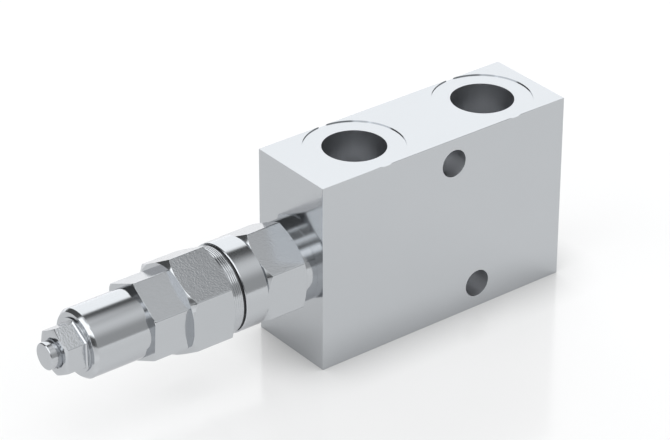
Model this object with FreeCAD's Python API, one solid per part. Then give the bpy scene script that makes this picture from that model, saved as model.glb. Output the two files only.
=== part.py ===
import FreeCAD, Part
import math
import os
from FreeCAD import Vector

# Counterbalance valve: a drilled steel block with two ports on top and a pilot port below.
# A screw-in cartridge lies along X in the block's left end.
# Millimetres. The origin is the middle of the block's bottom face. X runs along the cartridge,
# from the adjusting screw towards the block, Y from the front to the back, and Z up.

# Block
block_length = 90.0
block_height = 60.0
block_depth = 30.0
block_edge_break = 0.3
axis_height = 30.0

# Ports on top, measured from the block's left face
valve_port_from_face = 23.0
cylinder_port_from_face = 71.0
port_radius = 9.5
port_depth = 16.0
port_chamfer = 0.6
spotface_radius = 15.2
spotface_depth = 0.4
valve_drill_radius = 5.8
cylinder_drill_radius = 5.8
cross_drill_radius = 6.4

# Pilot port underneath
pilot_port_from_face = 36.5
pilot_port_radius = 5.9
pilot_port_depth = 12.0
pilot_port_chamfer = 0.9
pilot_drill_radius = 1.5
orifice_radius = 2.5
orifice_length = 4.0
orifice_hole_radius = 0.4
orifice_slot_width = 0.8
orifice_slot_depth = 0.9

# Cutting tools
drill_point_angle = 31.0
cutter_overrun = 1.0

# Bolt holes through the block, front to back
bolt_hole_radius = 4.3
upper_bolt_from_face = 48.0
upper_bolt_below_top = 8.0
lower_bolt_from_face = 58.0
lower_bolt_above_base = 8.0

# Clearances
thread_clearance = 0.05
seat_clearance = 0.05
guide_clearance = 0.03
seal_clearance = 0.04
spring_clearance = 0.05

# Cartridge body, outside the block
washer_face_length = 1.7
washer_face_radius = 12.8
body_hex_flats = 25.4
body_hex_length = 15.6
body_hex_turn = 3.0
body_hex_inner_cone = 2.9
body_hex_outer_chamfer = 0.8
collar_radius = 13.5
collar_length = 8.3
collar_chamfer = 0.4

# Cartridge body, inside the block
neck_radius = 10.2
neck_length = 3.2
mouth_radius = 12.0
mouth_depth = 2.4
body_thread_radius = 11.0
body_thread_length = 10.0
thread_chamfer = 0.8
valve_waist_radius = 8.7
land_margin = 0.8
pilot_land_radius = 9.2
pilot_waist_radius = 8.0
pilot_waist_length = 5.0
nose_land_radius = 8.6
nose_land_length = 8.0
nose_radius = 8.4
cavity_valve_radius = 10.2
cavity_lead_length = 1.0
cavity_end_gap = 0.8
sleeve_valve_hole_radius = 2.4
sleeve_valve_hole_count = 4
sleeve_pilot_hole_radius = 1.0
sleeve_pilot_hole_count = 2

# Seals on the sleeve
o_ring_sides = 6
seal_groove_length = 3.2
seal_groove_depth = 1.6
backup_ring_length = 0.6

# Bores inside the cartridge body
housing_thread_radius = 10.0
housing_thread_depth = 14.6
guide_room_radius = 8.6
guide_room_length = 5.0
large_guide_radius = 6.0
small_guide_radius = 5.0
pilot_chamber_length = 2.6
seat_chamber_radius = 6.3
seat_chamber_length = 5.2
seat_chamber_overlap = 2.0

# Check seat, its spring, retainer and ring
seat_radius = 6.8
seat_length = 3.7
seat_hole_radius = 4.0
seat_spigot_radius = 5.0
seat_spigot_length = 0.9
check_spring_length = 4.4
check_spring_wire = 0.8
check_spring_radius = 5.7
check_spring_turns = 2.5
retainer_length = 1.2
retainer_hole_radius = 4.4
circlip_thickness = 1.0
circlip_groove_depth = 0.5
circlip_width = 1.2
circlip_opening = 50.0
nose_lip_length = 1.0

# Relief poppet
poppet_overhang = 2.0
poppet_waist_radius = 4.6
poppet_waist_length = 11.0
poppet_bore_radius = 2.6
poppet_bore_overrun = 0.4
poppet_valve_hole_radius = 1.8
poppet_valve_hole_count = 2
poppet_step_gap = 2.6
poppet_neck_radius = 4.1
poppet_neck_length = 3.7
poppet_seat_hole_radius = 1.3
poppet_seat_hole_count = 3
poppet_head_radius = 4.9
poppet_head_length = 0.8
poppet_tip_radius = 3.2
poppet_cone_angle = 35.0
poppet_seal_length = 2.2
poppet_seal_depth = 1.3

# How the coils are drawn
coil_steps_per_turn = 12
coil_wire_sides = 8
coil_gap = 0.05

# Main spring and its lower guide
spring_wire = 2.8
spring_radius = 6.2
spring_turns = 6.5
spring_spigot_radius = 4.4
spring_spigot_chamfer = 0.8
guide_flange_radius = 7.9
guide_flange_length = 3.0
guide_spigot_length = 5.0
guide_boss_radius = 2.5
guide_boss_length = 1.5
guide_vent_radius = 0.8

# Spring housing
housing_hex_flats = 27.0
housing_length = 17.0
housing_hex_outer_chamfer = 1.0
housing_hex_crown = 0.6
housing_cone_length = 3.5
housing_face_radius = 13.4
housing_rim_length = 1.0
housing_rim_chamfer = 0.25
housing_bore_radius = 8.2
housing_undercut_radius = 9.4
housing_undercut_length = 1.5
housing_stub_gap = 0.6
housing_seal_thickness = 0.8
housing_seal_radius = 12.9

# Spring cap: a hexagon and a barrel in one piece
cap_hex_flats = 22.6
cap_hex_length = 12.0
cap_hex_turn = 4.5
cap_hex_inner_cone = 0.8
cap_hex_inner_crown = 0.2
cap_hex_outer_chamfer = 0.4
cap_hex_outer_crown = 0.5
cap_barrel_radius = 10.3
cap_barrel_length = 18.8
cap_barrel_chamfer_length = 1.1
cap_barrel_chamfer_depth = 0.9
cap_neck_length = 0.9
cap_neck_depth = 0.35
cap_stub_radius = 9.8
cap_stub_length = 9.0
cap_bore_radius = 8.1
cap_wall = 5.6
cap_seal_recess_depth = 1.7
cap_seal_recess_width = 1.45

# Upper spring seat
upper_seat_length = 4.6
upper_seat_spigot_length = 4.6
upper_seat_groove_length = 2.0
upper_seat_groove_depth = 1.55
upper_seat_gap = 3.4

# Adjusting screw, lock nut and its sealing washer
screw_radius = 4.0
screw_chamfer = 0.25
screw_protrusion = 3.2
screw_shoulder_radius = 5.6
screw_shoulder_length = 1.5
nut_flats = 13.0
nut_length = 6.5
nut_chamfer = 0.8
nut_washer_radius = 8.0
nut_washer_length = 0.5

# Places along X, outwards from the block's left face
face_x = -block_length / 2.0
body_hex_right = face_x - washer_face_length
body_hex_left = body_hex_right - body_hex_length
collar_left = body_hex_left - collar_length
housing_right = collar_left - housing_seal_thickness
housing_left = housing_right - housing_length
cap_hex_left = housing_left - cap_hex_length
cap_left = cap_hex_left - cap_barrel_length
nut_right = cap_left - nut_washer_length
nut_left = nut_right - nut_length
screw_left = nut_left - screw_protrusion
cap_inner_face = cap_left + cap_wall
screw_right = cap_inner_face + upper_seat_gap
upper_seat_right = screw_right + upper_seat_length
housing_thread_end = collar_left + housing_thread_depth
housing_stub_end = housing_thread_end - housing_stub_gap
guide_bore_start = housing_thread_end + guide_room_length
poppet_left = guide_bore_start - poppet_overhang
guide_left = poppet_left - guide_flange_length

# Places along X, inwards from the block's left face
valve_port_x = face_x + valve_port_from_face
cylinder_port_x = face_x + cylinder_port_from_face
pilot_port_x = face_x + pilot_port_from_face
thread_start = face_x + neck_length
thread_end = thread_start + body_thread_length
valve_waist_end = valve_port_x + valve_drill_radius + land_margin
pilot_waist_start = pilot_port_x - pilot_drill_radius
pilot_waist_end = pilot_waist_start + pilot_waist_length
nose_land_end = pilot_waist_end + nose_land_length
guide_step = pilot_waist_start + pilot_chamber_length
seat_chamber_start = nose_land_end - seat_chamber_overlap
seat_left = seat_chamber_start + seat_chamber_length
seat_right = seat_left + seat_length
retainer_left = seat_right + check_spring_length
retainer_right = retainer_left + retainer_length
circlip_right = retainer_right + circlip_thickness
nose_end = circlip_right + nose_lip_length
cavity_end = nose_end + cavity_end_gap
poppet_step = guide_step - poppet_step_gap

AXIS_POINT = Vector(0, 0, axis_height)
AXIS_X = Vector(1, 0, 0)
FRONT_TO_BACK = Vector(0, 1, 0)
UP = Vector(0, 0, 1)


def export(name, shape):
    """Writes one sub-part to its own file."""
    shape.exportStep("parts/" + name + ".step")


def turned(profile):
    """Turns a closed outline of (x, radius) points about the cartridge axis."""
    points = [Vector(x, 0, axis_height + radius) for x, radius in profile]
    outline = Part.makePolygon(points + points[:1])
    return Part.Face(outline).revolve(AXIS_POINT, AXIS_X, 360)


def rod(left, right, radius):
    """A plain cylinder on the cartridge axis."""
    return Part.makeCylinder(radius, right - left, Vector(left, 0, axis_height), AXIS_X)


def tube(left, right, outer, inner):
    """A plain ring on the cartridge axis."""
    return turned([(left, inner), (left, outer), (right, outer), (right, inner)])


def hexagon(left, right, flats, turn):
    """A hexagonal bar on the cartridge axis; with no turn a corner points up."""
    corner = flats / math.sqrt(3.0)
    points = []
    for side in range(6):
        angle = math.radians(turn + 60.0 * side)
        points.append(Vector(left, -corner * math.sin(angle), axis_height + corner * math.cos(angle)))
    outline = Part.makePolygon(points + points[:1])
    return Part.Face(outline).extrude(Vector(right - left, 0, 0))


def chamfered_hexagon(left, right, flats, turn, left_chamfer, left_radius, right_chamfer, right_radius):
    """A hexagonal bar whose corners are turned down to a cone at each end."""
    corner = flats / math.sqrt(3.0)
    cone = turned([
        (left, 0),
        (left, left_radius),
        (left + left_chamfer, corner),
        (right - right_chamfer, corner),
        (right, right_radius),
        (right, 0),
    ])
    return hexagon(left, right, flats, turn).common(cone)


def o_ring(centre_x, inner, outer):
    """A rubber ring squeezed between two radii; its section is drawn with a few flat sides."""
    across = (outer - inner) / 2.0 - seal_clearance
    middle = (inner + outer) / 2.0
    half_side = math.pi / o_ring_sides
    corner = across / math.cos(half_side)
    section = []
    for side in range(o_ring_sides):
        angle = math.pi / 2.0 + half_side * (2 * side + 1)
        section.append((centre_x + corner * math.cos(angle), middle + corner * math.sin(angle)))
    return turned(section)


def radial_holes(centre_x, radius, count, inner, outer):
    """Drillings square to the axis, spread evenly round it."""
    holes = []
    for step in range(count):
        angle = math.radians(360.0 * step / count)
        direction = Vector(0, math.sin(angle), math.cos(angle))
        start = Vector(centre_x, 0, axis_height) + direction * inner
        holes.append(Part.makeCylinder(radius, outer - inner, start, direction))
    return Part.makeCompound(holes)


def coil_spring(left, right, mean_radius, wire, turns):
    """A compression spring with a closed coil at each end, ground flat; the wire has eight sides."""
    closed_pitch = wire + coil_gap
    open_pitch = (right - left - 2.0 * closed_pitch) / (turns - 2.0)
    points = []
    for step in range(int(round(turns * coil_steps_per_turn)) + 1):
        turn = step / coil_steps_per_turn
        first = closed_pitch * min(turn, 1.0)
        middle = open_pitch * min(max(turn - 1.0, 0.0), turns - 2.0)
        last = closed_pitch * max(turn - turns + 1.0, 0.0)
        angle = 2.0 * math.pi * turn
        y = mean_radius * math.sin(angle)
        z = axis_height + mean_radius * math.cos(angle)
        points.append(Vector(left + first + middle + last, y, z))
    path = Part.makePolygon(points)
    along = (points[1] - points[0]).normalize()
    across = Vector(0, 0, 1)
    beside = along.cross(across).normalize()
    corners = []
    for side in range(coil_wire_sides):
        angle = 2.0 * math.pi * side / coil_wire_sides
        corners.append(points[0] + (across * math.cos(angle) + beside * math.sin(angle)) * (wire / 2.0))
    section = Part.makePolygon(corners + corners[:1])
    coil = path.makePipeShell([section], True, True, 1)
    return coil.common(rod(left, right, mean_radius + wire))


def valve_body():
    """The drilled block."""
    body = Part.makeBox(block_length, block_depth, block_height, Vector(face_x, -block_depth / 2.0, 0))
    body = body.makeChamfer(block_edge_break, body.Edges)
    body = body.cut(top_port(valve_port_x, valve_drill_radius))
    body = body.cut(top_port(cylinder_port_x, cylinder_drill_radius))
    body = body.cut(pilot_port())
    body = body.cut(cavity())
    for x, z in (
        (face_x + upper_bolt_from_face, block_height - upper_bolt_below_top),
        (face_x + lower_bolt_from_face, lower_bolt_above_base),
    ):
        start = Vector(x, -block_depth, z)
        body = body.cut(Part.makeCylinder(bolt_hole_radius, 2.0 * block_depth, start, FRONT_TO_BACK))
    return body.removeSplitter()


def top_port(x, drill_radius):
    """A port from above: spotface, chamfered bore, drill point and the drilling down to the axis."""
    floor = block_height - port_depth
    point_depth = (port_radius - drill_radius) * math.tan(math.radians(drill_point_angle))
    profile = [
        (0, axis_height),
        (drill_radius, axis_height),
        (drill_radius, floor - point_depth),
        (port_radius, floor),
        (port_radius, block_height - spotface_depth - port_chamfer),
        (port_radius + port_chamfer, block_height - spotface_depth),
        (spotface_radius, block_height - spotface_depth),
        (spotface_radius, block_height + spotface_depth),
        (0, block_height + spotface_depth),
    ]
    points = [Vector(x + radius, 0, z) for radius, z in profile]
    outline = Part.makePolygon(points + points[:1])
    return Part.Face(outline).revolve(Vector(x, 0, 0), UP, 360)


def pilot_port():
    """The pilot port from below, with the seat of its orifice and the drilling up to the cavity."""
    seat_top = pilot_port_depth + orifice_length
    profile = [
        (0, -pilot_port_chamfer),
        (pilot_port_radius + 2.0 * pilot_port_chamfer, -pilot_port_chamfer),
        (pilot_port_radius, pilot_port_chamfer),
        (pilot_port_radius, pilot_port_depth),
        (orifice_radius + thread_clearance, pilot_port_depth),
        (orifice_radius + thread_clearance, seat_top),
        (pilot_drill_radius, seat_top),
        (pilot_drill_radius, axis_height),
        (0, axis_height),
    ]
    points = [Vector(pilot_port_x + radius, 0, z) for radius, z in profile]
    outline = Part.makePolygon(points + points[:1])
    return Part.Face(outline).revolve(Vector(pilot_port_x, 0, 0), UP, 360)


def cavity():
    """The stepped bore for the cartridge, and the drilling on to the cylinder port."""
    thread_bore = body_thread_radius + thread_clearance
    pilot_bore = pilot_land_radius + seat_clearance
    nose_bore = nose_land_radius + seat_clearance
    drill_end = cylinder_port_x + cylinder_drill_radius
    drill_point = cross_drill_radius * math.tan(math.radians(drill_point_angle))
    return turned([
        (face_x - cutter_overrun, 0),
        (face_x - cutter_overrun, mouth_radius),
        (face_x + mouth_depth, mouth_radius),
        (face_x + mouth_depth, thread_bore),
        (thread_end + land_margin, thread_bore),
        (thread_end + land_margin, cavity_valve_radius),
        (valve_waist_end - cavity_lead_length, cavity_valve_radius),
        (valve_waist_end, pilot_bore),
        (pilot_waist_end - cavity_lead_length, pilot_bore),
        (pilot_waist_end, nose_bore),
        (cavity_end, nose_bore),
        (cavity_end, cross_drill_radius),
        (drill_end, cross_drill_radius),
        (drill_end + drill_point, 0),
    ])


def pilot_orifice():
    """The screwed restrictor in the pilot port, with a driver slot in its lower end."""
    low = pilot_port_depth
    centre = Vector(pilot_port_x, 0, low)
    plug = Part.makeCylinder(orifice_radius, orifice_length, centre, UP)
    hole = Part.makeCylinder(orifice_hole_radius, orifice_length, centre, UP)
    corner = Vector(pilot_port_x - orifice_radius, -orifice_slot_width / 2.0, low)
    slot = Part.makeBox(2.0 * orifice_radius, orifice_slot_width, orifice_slot_depth, corner)
    return plug.cut(hole).cut(slot)


def cartridge_body():
    """The turned body: collar, hexagon, thread and stepped sleeve, with its bores and drillings."""
    hex_part = chamfered_hexagon(
        body_hex_left, body_hex_right, body_hex_flats, body_hex_turn,
        body_hex_outer_chamfer, collar_radius, body_hex_inner_cone, washer_face_radius,
    )
    body = hex_part.fuse(cartridge_outside())
    body = body.cut(cartridge_bores())
    valve_holes = radial_holes(
        valve_port_x, sleeve_valve_hole_radius, sleeve_valve_hole_count, 0, body_thread_radius)
    pilot_hole_x = pilot_waist_start + sleeve_pilot_hole_radius + seat_clearance
    pilot_holes = radial_holes(
        pilot_hole_x, sleeve_pilot_hole_radius, sleeve_pilot_hole_count, 0, pilot_land_radius)
    return body.cut(valve_holes).cut(pilot_holes).removeSplitter()


def cartridge_outside():
    """The turned outline of the cartridge body, apart from its hexagon."""
    pilot_groove = groove(valve_waist_end, pilot_waist_start, pilot_land_radius)
    nose_groove = groove(pilot_waist_end, nose_land_end, nose_land_radius)
    return turned([
        (collar_left, 0),
        (collar_left, collar_radius - collar_chamfer),
        (collar_left + collar_chamfer, collar_radius),
        (body_hex_left, collar_radius),
        (body_hex_left, body_thread_radius),
        (body_hex_right, body_thread_radius),
        (body_hex_right, washer_face_radius),
        (face_x, washer_face_radius),
        (face_x, neck_radius),
        (thread_start, neck_radius),
        (thread_start + thread_chamfer, body_thread_radius),
        (thread_end - thread_chamfer, body_thread_radius),
        (thread_end, body_thread_radius - thread_chamfer),
        (thread_end, valve_waist_radius),
        (valve_waist_end, valve_waist_radius),
        (valve_waist_end, pilot_land_radius),
        *pilot_groove,
        (pilot_waist_start, pilot_land_radius),
        (pilot_waist_start, pilot_waist_radius),
        (pilot_waist_end, pilot_waist_radius),
        (pilot_waist_end, nose_land_radius),
        *nose_groove,
        (nose_land_end, nose_land_radius),
        (nose_land_end, nose_radius),
        (nose_end, nose_radius),
        (nose_end, 0),
    ])


def groove(left, right, land_radius):
    """The outline of a seal groove in the middle of a land."""
    start = (left + right - seal_groove_length) / 2.0
    floor = land_radius - seal_groove_depth
    return [
        (start, land_radius),
        (start, floor),
        (start + seal_groove_length, floor),
        (start + seal_groove_length, land_radius),
    ]


def cartridge_bores():
    """Everything bored out of the cartridge body, from the collar to the nose."""
    large_bore = large_guide_radius + guide_clearance
    small_bore = small_guide_radius + guide_clearance
    seat_bore = seat_radius + guide_clearance
    return turned([
        (collar_left - cutter_overrun, 0),
        (collar_left - cutter_overrun, housing_thread_radius + thread_clearance),
        (housing_thread_end, housing_thread_radius + thread_clearance),
        (housing_thread_end, guide_room_radius),
        (guide_bore_start, guide_room_radius),
        (guide_bore_start, large_bore),
        (guide_step, large_bore),
        (guide_step, small_bore),
        (seat_chamber_start, small_bore),
        (seat_chamber_start, seat_chamber_radius),
        (seat_left, seat_chamber_radius),
        (seat_left, seat_bore),
        (retainer_right, seat_bore),
        (retainer_right, seat_bore + circlip_groove_depth),
        (circlip_right, seat_bore + circlip_groove_depth),
        (circlip_right, seat_bore),
        (nose_end + cutter_overrun, seat_bore),
        (nose_end + cutter_overrun, 0),
    ])


def land_seals(left, right, land_radius):
    """An o-ring with a backup ring on each side, for the groove in the middle of a land."""
    start = (left + right - seal_groove_length) / 2.0
    inner = land_radius - seal_groove_depth
    outer = land_radius + seat_clearance
    ring = o_ring((left + right) / 2.0, inner, outer)
    backups = []
    for edge in (start, start + seal_groove_length - backup_ring_length):
        backups.append(tube(edge, edge + backup_ring_length, outer - seal_clearance, inner + seal_clearance))
    return ring, backups


def check_seat():
    """The sliding ring that carries the seat edge and opens for free flow."""
    spigot_end = seat_right + seat_spigot_length
    return turned([
        (seat_left, seat_hole_radius),
        (seat_left, seat_radius),
        (seat_right, seat_radius),
        (seat_right, seat_spigot_radius),
        (spigot_end, seat_spigot_radius),
        (spigot_end, seat_hole_radius),
    ])


def check_retainer():
    """The washer that the check spring stands on."""
    return tube(retainer_left, retainer_right, seat_radius - seat_clearance, retainer_hole_radius)


def check_circlip():
    """The open ring in the nose's groove."""
    outer = seat_radius + circlip_groove_depth - seat_clearance
    ring = tube(retainer_right, circlip_right, outer, outer - circlip_width)
    half = math.radians(circlip_opening / 2.0)
    reach = 2.0 * outer
    corners = [
        Vector(retainer_right, 0, axis_height),
        Vector(retainer_right, -reach * math.sin(half), axis_height - reach * math.cos(half)),
        Vector(retainer_right, reach * math.sin(half), axis_height - reach * math.cos(half)),
    ]
    wedge = Part.Face(Part.makePolygon(corners + corners[:1])).extrude(Vector(circlip_thickness, 0, 0))
    return ring.cut(wedge)


def relief_poppet():
    """The hollow stepped poppet: two guide lands, a waist, a neck and the cone on the check seat."""
    cone_slope = math.tan(math.radians(poppet_cone_angle))
    edge_radius = seat_hole_radius - guide_clearance
    cone_start = seat_left - (poppet_head_radius - edge_radius) / cone_slope
    cone_end = cone_start + (poppet_head_radius - poppet_tip_radius) / cone_slope
    head_start = cone_start - poppet_head_length
    neck_start = head_start - poppet_neck_length
    waist_left = valve_port_x - poppet_waist_length / 2.0
    waist_right = waist_left + poppet_waist_length
    large_floor = large_guide_radius - poppet_seal_depth
    small_floor = small_guide_radius - poppet_seal_depth
    large_seal, small_seal = poppet_seal_starts()
    body = turned([
        (poppet_left, 0),
        (poppet_left, large_guide_radius),
        (waist_left, large_guide_radius),
        (waist_left, poppet_waist_radius),
        (waist_right, poppet_waist_radius),
        (waist_right, large_guide_radius),
        (large_seal, large_guide_radius),
        (large_seal, large_floor),
        (large_seal + poppet_seal_length, large_floor),
        (large_seal + poppet_seal_length, large_guide_radius),
        (poppet_step, large_guide_radius),
        (poppet_step, small_guide_radius),
        (small_seal, small_guide_radius),
        (small_seal, small_floor),
        (small_seal + poppet_seal_length, small_floor),
        (small_seal + poppet_seal_length, small_guide_radius),
        (neck_start, small_guide_radius),
        (neck_start, poppet_neck_radius),
        (head_start, poppet_neck_radius),
        (head_start, poppet_head_radius),
        (cone_start, poppet_head_radius),
        (cone_end, poppet_tip_radius),
        (cone_end, 0),
    ])
    seat_holes_x = (neck_start + head_start) / 2.0
    bore_end = seat_holes_x + poppet_seat_hole_radius + poppet_bore_overrun
    point = poppet_bore_radius * math.tan(math.radians(drill_point_angle))
    bore = turned([
        (poppet_left - cutter_overrun, 0),
        (poppet_left - cutter_overrun, poppet_bore_radius),
        (bore_end, poppet_bore_radius),
        (bore_end + point, 0),
    ])
    valve_holes = radial_holes(
        valve_port_x, poppet_valve_hole_radius, poppet_valve_hole_count, 0, large_guide_radius)
    seat_holes = radial_holes(
        seat_holes_x, poppet_seat_hole_radius, poppet_seat_hole_count, 0, large_guide_radius)
    return body.cut(bore).cut(valve_holes).cut(seat_holes)


def poppet_seal_starts():
    """Where the grooves of the poppet's two piston rings begin."""
    waist_right = valve_port_x + poppet_waist_length / 2.0
    large = (waist_right + poppet_step - poppet_seal_length) / 2.0
    small = (guide_step + seat_chamber_start - poppet_seal_length) / 2.0
    return large, small


def poppet_seal(start, guide_radius):
    """A square-section piston ring in one of the poppet's grooves."""
    inner = guide_radius - poppet_seal_depth + seal_clearance
    return tube(
        start + seal_clearance, start + poppet_seal_length - seal_clearance,
        guide_radius, inner)


def spring_guide():
    """The lower spring plate, centred in the poppet's bore and vented through its middle."""
    return turned([
        (guide_left - guide_spigot_length, guide_vent_radius),
        (guide_left - guide_spigot_length, spring_spigot_radius - spring_spigot_chamfer),
        (guide_left - guide_spigot_length + spring_spigot_chamfer, spring_spigot_radius),
        (guide_left, spring_spigot_radius),
        (guide_left, guide_flange_radius),
        (poppet_left, guide_flange_radius),
        (poppet_left, guide_boss_radius),
        (poppet_left + guide_boss_length, guide_boss_radius),
        (poppet_left + guide_boss_length, guide_vent_radius),
    ])


def spring_housing():
    """The large hexagon that screws into the collar and holds the main spring."""
    rim_left = housing_right - housing_rim_length
    hex_part = chamfered_hexagon(
        housing_left, rim_left, housing_hex_flats, 0.0,
        housing_hex_outer_chamfer, housing_hex_flats / 2.0 + housing_hex_crown,
        housing_cone_length, housing_face_radius,
    )
    outside = turned([
        (rim_left, 0),
        (rim_left, housing_face_radius),
        (housing_right - housing_rim_chamfer, housing_face_radius),
        (housing_right, housing_face_radius - housing_rim_chamfer),
        (housing_right, housing_undercut_radius),
        (housing_right + housing_undercut_length, housing_undercut_radius),
        (housing_right + housing_undercut_length, housing_thread_radius),
        (housing_stub_end - thread_chamfer, housing_thread_radius),
        (housing_stub_end, housing_thread_radius - thread_chamfer),
        (housing_stub_end, 0),
    ])
    thread_end_x = housing_left + cap_stub_length + housing_stub_gap
    recess_radius = cap_stub_radius + cap_seal_recess_width
    bores = turned([
        (housing_left - cutter_overrun, 0),
        (housing_left - cutter_overrun, recess_radius),
        (housing_left + cap_seal_recess_depth, recess_radius),
        (housing_left + cap_seal_recess_depth, cap_stub_radius + thread_clearance),
        (thread_end_x, cap_stub_radius + thread_clearance),
        (thread_end_x, housing_bore_radius),
        (housing_stub_end + cutter_overrun, housing_bore_radius),
        (housing_stub_end + cutter_overrun, 0),
    ])
    return hex_part.fuse(outside).cut(bores).removeSplitter()


def housing_seal():
    """The flat seal seen as a dark line between the collar and the spring housing."""
    return tube(housing_right, collar_left, housing_seal_radius, housing_thread_radius + seal_clearance)


def spring_cap():
    """The outer cap: a barrel, a hexagon and a stub that screws into the spring housing."""
    hex_part = chamfered_hexagon(
        cap_hex_left, housing_left, cap_hex_flats, cap_hex_turn,
        cap_hex_outer_chamfer, cap_hex_flats / 2.0 + cap_hex_outer_crown,
        cap_hex_inner_cone, cap_hex_flats / 2.0 + cap_hex_inner_crown,
    )
    stub_end = housing_left + cap_stub_length
    outside = turned([
        (cap_left, 0),
        (cap_left, cap_barrel_radius - cap_barrel_chamfer_depth),
        (cap_left + cap_barrel_chamfer_length, cap_barrel_radius),
        (cap_hex_left - cap_neck_length, cap_barrel_radius),
        (cap_hex_left - cap_neck_length, cap_barrel_radius - cap_neck_depth),
        (cap_hex_left, cap_barrel_radius - cap_neck_depth),
        (cap_hex_left, cap_stub_radius),
        (stub_end - thread_chamfer, cap_stub_radius),
        (stub_end, cap_stub_radius - thread_chamfer),
        (stub_end, 0),
    ])
    bores = turned([
        (cap_left - cutter_overrun, 0),
        (cap_left - cutter_overrun, screw_radius + thread_clearance),
        (cap_inner_face, screw_radius + thread_clearance),
        (cap_inner_face, cap_bore_radius),
        (stub_end + cutter_overrun, cap_bore_radius),
        (stub_end + cutter_overrun, 0),
    ])
    return hex_part.fuse(outside).cut(bores).removeSplitter()


def cap_o_ring():
    """The o-ring in the spring housing's outer face, under the cap's hexagon."""
    centre = housing_left + cap_seal_recess_depth / 2.0
    return o_ring(centre, cap_stub_radius, cap_stub_radius + cap_seal_recess_width)


def upper_spring_seat():
    """The sliding plate between the adjusting screw and the main spring."""
    radius = cap_bore_radius - guide_clearance
    groove_left = screw_right + (upper_seat_length - upper_seat_groove_length) / 2.0
    groove_right = groove_left + upper_seat_groove_length
    spigot_end = upper_seat_right + upper_seat_spigot_length
    return turned([
        (screw_right, 0),
        (screw_right, radius),
        (groove_left, radius),
        (groove_left, cap_bore_radius - upper_seat_groove_depth),
        (groove_right, cap_bore_radius - upper_seat_groove_depth),
        (groove_right, radius),
        (upper_seat_right, radius),
        (upper_seat_right, spring_spigot_radius),
        (spigot_end - spring_spigot_chamfer, spring_spigot_radius),
        (spigot_end, spring_spigot_radius - spring_spigot_chamfer),
        (spigot_end, 0),
    ])


def adjusting_screw():
    """The plain-ended screw, with the shoulder that keeps it in the cap."""
    shoulder_left = screw_right - screw_shoulder_length
    return turned([
        (screw_left, 0),
        (screw_left, screw_radius - screw_chamfer),
        (screw_left + screw_chamfer, screw_radius),
        (shoulder_left, screw_radius),
        (shoulder_left, screw_shoulder_radius),
        (screw_right, screw_shoulder_radius),
        (screw_right, 0),
    ])


def lock_nut():
    """The hexagon nut, chamfered at both ends."""
    end_radius = nut_flats / 2.0
    nut = chamfered_hexagon(
        nut_left, nut_right, nut_flats, 0.0, nut_chamfer / 2.0, end_radius, nut_chamfer / 2.0, end_radius)
    return nut.cut(rod(nut_left, nut_right, screw_radius + thread_clearance))


def nut_washer():
    """The thin sealing washer under the lock nut."""
    return tube(nut_right, cap_left, nut_washer_radius, screw_radius + thread_clearance)


def build():
    """Writes every sub-part."""
    os.makedirs("parts", exist_ok=True)
    export("valve_body", valve_body())
    export("pilot_orifice", pilot_orifice())
    export("cartridge_body", cartridge_body())
    export("mouth_o_ring", o_ring(face_x + mouth_depth / 2.0, neck_radius, mouth_radius))
    pilot_ring, pilot_backups = land_seals(valve_waist_end, pilot_waist_start, pilot_land_radius)
    nose_ring, nose_backups = land_seals(pilot_waist_end, nose_land_end, nose_land_radius)
    export("pilot_o_ring", pilot_ring)
    export("nose_o_ring", nose_ring)
    for number, ring in enumerate(pilot_backups + nose_backups, 1):
        export("backup_ring_" + str(number), ring)
    export("check_seat", check_seat())
    spring_left = seat_right + spring_clearance
    spring_right = retainer_left - spring_clearance
    export("check_spring", coil_spring(
        spring_left, spring_right, check_spring_radius, check_spring_wire, check_spring_turns))
    export("check_retainer", check_retainer())
    export("check_circlip", check_circlip())
    export("relief_poppet", relief_poppet())
    large_seal, small_seal = poppet_seal_starts()
    export("poppet_seal_large", poppet_seal(large_seal, large_guide_radius))
    export("poppet_seal_small", poppet_seal(small_seal, small_guide_radius))
    export("spring_guide", spring_guide())
    spring_left = upper_seat_right + spring_clearance
    spring_right = guide_left - spring_clearance
    export("main_spring", coil_spring(spring_left, spring_right, spring_radius, spring_wire, spring_turns))
    export("spring_housing", spring_housing())
    export("housing_seal", housing_seal())
    export("spring_cap", spring_cap())
    export("cap_o_ring", cap_o_ring())
    export("upper_spring_seat", upper_spring_seat())
    groove_middle = screw_right + upper_seat_length / 2.0
    export("upper_seat_o_ring", o_ring(
        groove_middle, cap_bore_radius - upper_seat_groove_depth, cap_bore_radius))
    export("adjusting_screw", adjusting_screw())
    export("lock_nut", lock_nut())
    export("nut_washer", nut_washer())


build()
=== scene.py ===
import math

import bmesh
import bpy
from mathutils import Matrix, Vector


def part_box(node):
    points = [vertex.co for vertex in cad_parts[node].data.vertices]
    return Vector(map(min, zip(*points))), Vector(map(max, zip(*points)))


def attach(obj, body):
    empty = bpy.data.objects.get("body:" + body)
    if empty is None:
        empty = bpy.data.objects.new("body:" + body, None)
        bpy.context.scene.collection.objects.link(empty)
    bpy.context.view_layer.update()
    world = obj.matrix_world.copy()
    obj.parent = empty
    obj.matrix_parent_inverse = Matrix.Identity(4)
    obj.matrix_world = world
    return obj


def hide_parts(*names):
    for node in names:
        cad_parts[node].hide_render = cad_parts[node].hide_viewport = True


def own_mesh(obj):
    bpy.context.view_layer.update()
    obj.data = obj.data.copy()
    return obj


# Counterbalance valve, in metres, in the CAD's frame: X from the adjusting screw to the block,
# Y from the front to the back, Z up, the origin in the middle of the block's bottom face.
# The forms below are given in millimetres and turned into metres by MM.

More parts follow.
